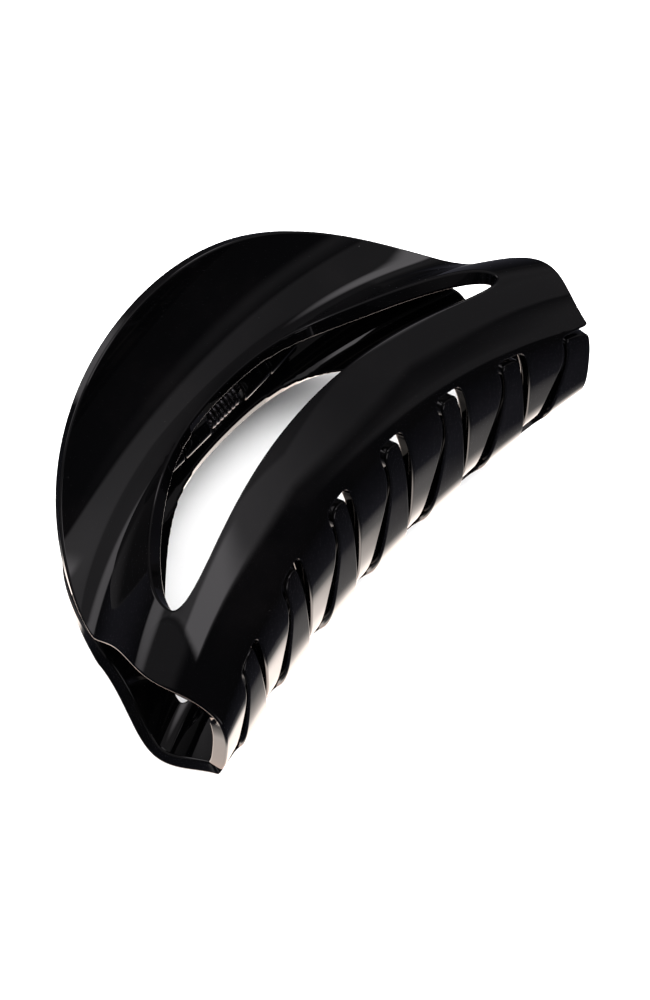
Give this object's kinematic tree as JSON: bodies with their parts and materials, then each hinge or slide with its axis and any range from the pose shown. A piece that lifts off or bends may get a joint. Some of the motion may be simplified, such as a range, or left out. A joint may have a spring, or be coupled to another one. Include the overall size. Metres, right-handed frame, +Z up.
{
  "type": "sectioning clip",
  "caption": "Long arched hair clip: two curved gloss plastic jaws with interlocking teeth, open side windows and finger wings, sprung on one hinge pin.",
  "frame": {"origin": "centre of the bounding box at its lowest point, with the clip lying closed on its side", "axes": "+X along the clip and parallel to the hinge, +Y from the teeth towards the finger wings, +Z up"},
  "size_m": [0.1138, 0.068, 0.0548],
  "materials": {
    "jaw_plastic": "high gloss black, injection moulded",
    "pin_steel": "blackened steel",
    "spring_steel": "drawn spring wire, dark"
  },
  "bodies": {
    "lower": {"lower_jaw": "jaw_plastic", "hinge_pin": "pin_steel", "torsion_spring": "spring_steel"},
    "upper": {"upper_jaw": "jaw_plastic"}
  },
  "joints": [
    {"name": "jaw_hinge", "type": "hinge", "parent": "lower", "child": "upper", "pos_m": [0, 0.01506, 0.02522], "axis": [-1, 0, 0], "range_deg": [0, 60], "stiffness_Nm_per_rad": 0.15, "springref_deg": -34.38, "deforming": ["torsion_spring"]}
  ]
}
